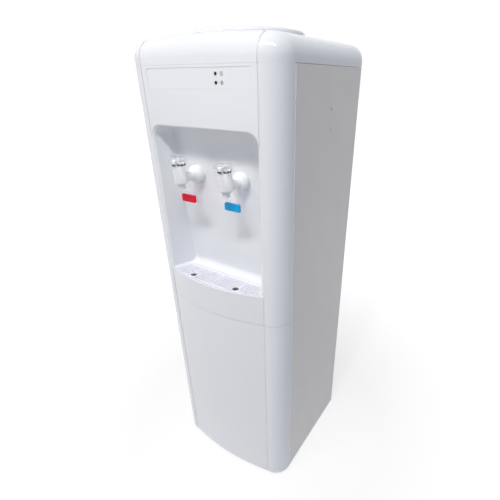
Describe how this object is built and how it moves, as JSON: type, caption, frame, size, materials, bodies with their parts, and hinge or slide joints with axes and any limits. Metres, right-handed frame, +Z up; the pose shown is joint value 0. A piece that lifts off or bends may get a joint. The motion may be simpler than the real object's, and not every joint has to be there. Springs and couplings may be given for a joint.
{
  "type": "water dispenser",
  "caption": "Floor-standing hot and cold water dispenser with a bottle seat on top, two push taps in a niche and a drip tray.",
  "frame": {"origin": "on the floor under the middle of the machine's outline", "axes": "+Z up, front and taps towards -Y, +X to the right seen from the front"},
  "size_m": [0.3128, 0.3099, 0.9385],
  "materials": {
    "white_gloss": "glossy moulded ABS",
    "white_satin": "satin moulded ABS",
    "tap_white": "glossy moulded plastic",
    "clear_plastic": "clear moulded plastic",
    "spring_steel": "drawn stainless wire",
    "stem_plastic": "moulded acetal",
    "silicone": "translucent silicone",
    "tab_red": "glossy moulded plastic",
    "tab_blue": "glossy moulded plastic",
    "nut_plastic": "moulded nylon",
    "lamp_red": "tinted lens",
    "lamp_green": "tinted lens",
    "board": "circuit board",
    "side_paint": "white powder coat",
    "screw_chrome": "zinc plated",
    "zinc_sheet": "galvanised sheet",
    "black_rubber": "moulded rubber",
    "seal_rubber": "moulded silicone",
    "stainless": "deep-drawn stainless steel",
    "foam": "expanded foam",
    "copper": "drawn copper",
    "pipe_plastic": "food-grade pipe",
    "cap_plastic": "moulded plastic",
    "black_paint": "black enamel",
    "switch_red": "moulded plastic",
    "switch_green": "moulded plastic"
  },
  "bodies": {
    "housing": {"base_pan": "zinc_sheet", "cold_hose": "silicone", "cold_lamp": "lamp_green", "cold_tank": "stainless", "cold_tap_body": "tap_white", "cold_tap_bonnet": "tap_white", "cold_tap_flange": "tap_white", "cold_tap_spring": "spring_steel", "compressor": "black_paint", "compressor_grommets": "black_rubber", "condenser_tube": "black_paint", "condenser_wires": "black_paint", "cord_gland": "black_rubber", "drain_pipe": "pipe_plastic", "dryer": "copper", "evaporator": "copper", "feed_pipe": "pipe_plastic", "feet": "black_rubber", "heater_band": "stainless", "hot_hose": "silicone", "hot_jacket": "foam", "hot_lamp": "lamp_red", "hot_shelf": "zinc_sheet", "hot_tank": "stainless", "hot_tap_body": "tap_white", "hot_tap_bonnet": "tap_white", "hot_tap_flange": "tap_white", "hot_tap_spring": "spring_steel", "indicator_plate": "white_gloss", "lamp_board": "board", "lower_front_panel": "white_gloss", "rear_panel": "zinc_sheet", "seat_seal": "seal_rubber", "side_panel_left": "side_paint", "side_panel_right": "side_paint", "side_screws": "screw_chrome", "suction_line": "copper", "switch_frames": "cap_plastic", "tank_foam": "foam", "tank_shelf": "zinc_sheet", "tap_nuts": "nut_plastic", "top_cover": "white_gloss", "upper_front_panel": "white_gloss"},
    "hot_lever": {"hot_tap_lever": "clear_plastic", "hot_tap_pin": "spring_steel", "hot_tap_tab": "tab_red"},
    "hot_stem": {"hot_tap_stem": "stem_plastic", "hot_tap_plunger": "silicone"},
    "cold_lever": {"cold_tap_lever": "clear_plastic", "cold_tap_pin": "spring_steel", "cold_tap_tab": "tab_blue"},
    "cold_stem": {"cold_tap_stem": "stem_plastic", "cold_tap_plunger": "silicone"},
    "tray": {"drip_tray": "white_gloss"},
    "grille": {"drip_grille": "white_satin"},
    "seat": {"bottle_seat": "white_gloss"},
    "hot_rocker": {"hot_switch": "switch_red"},
    "cold_rocker": {"cold_switch": "switch_green"},
    "drain": {"drain_cap": "cap_plastic"}
  },
  "joints": [
    {"name": "hot_lever_push", "type": "hinge", "parent": "housing", "child": "hot_lever", "pos_m": [-0.0515, -0.148, 0.742], "axis": [1, 0, 0], "range_deg": [0, 15], "stiffness_Nm_per_rad": 0.4},
    {"name": "hot_stem_lift", "type": "slide", "parent": "housing", "child": "hot_stem", "axis": [0, 0, 1], "range_m": [0, 0.0026], "deforming": ["hot_tap_spring"]},
    {"name": "cold_lever_push", "type": "hinge", "parent": "housing", "child": "cold_lever", "pos_m": [0.0515, -0.148, 0.742], "axis": [1, 0, 0], "range_deg": [0, 15], "stiffness_Nm_per_rad": 0.4},
    {"name": "cold_stem_lift", "type": "slide", "parent": "housing", "child": "cold_stem", "axis": [0, 0, 1], "range_m": [0, 0.0026], "deforming": ["cold_tap_spring"]},
    {"name": "tray_lift", "type": "slide", "parent": "housing", "child": "tray", "axis": [0, 0, 1], "range_m": [0, 0.06]},
    {"name": "grille_lift", "type": "slide", "parent": "tray", "child": "grille", "axis": [0, 0, 1], "range_m": [0, 0.03]},
    {"name": "seat_lift", "type": "slide", "parent": "housing", "child": "seat", "axis": [0, 0, 1], "range_m": [0, 0.09]},
    {"name": "hot_switch_rock", "type": "hinge", "parent": "housing", "child": "hot_rocker", "pos_m": [-0.03, 0.129, 0.846], "axis": [1, 0, 0], "range_deg": [-16, 0]},
    {"name": "cold_switch_rock", "type": "hinge", "parent": "housing", "child": "cold_rocker", "pos_m": [0.03, 0.129, 0.846], "axis": [1, 0, 0], "range_deg": [-16, 0]},
    {"name": "drain_cap_pull", "type": "slide", "parent": "housing", "child": "drain", "axis": [0, 1, 0], "range_m": [0, 0.02]}
  ],
  "couplings": [
    {"joint": "hot_stem_lift", "follows": "hot_lever_push", "m_per_rad": 0.0095},
    {"joint": "cold_stem_lift", "follows": "cold_lever_push", "m_per_rad": 0.0095}
  ]
}
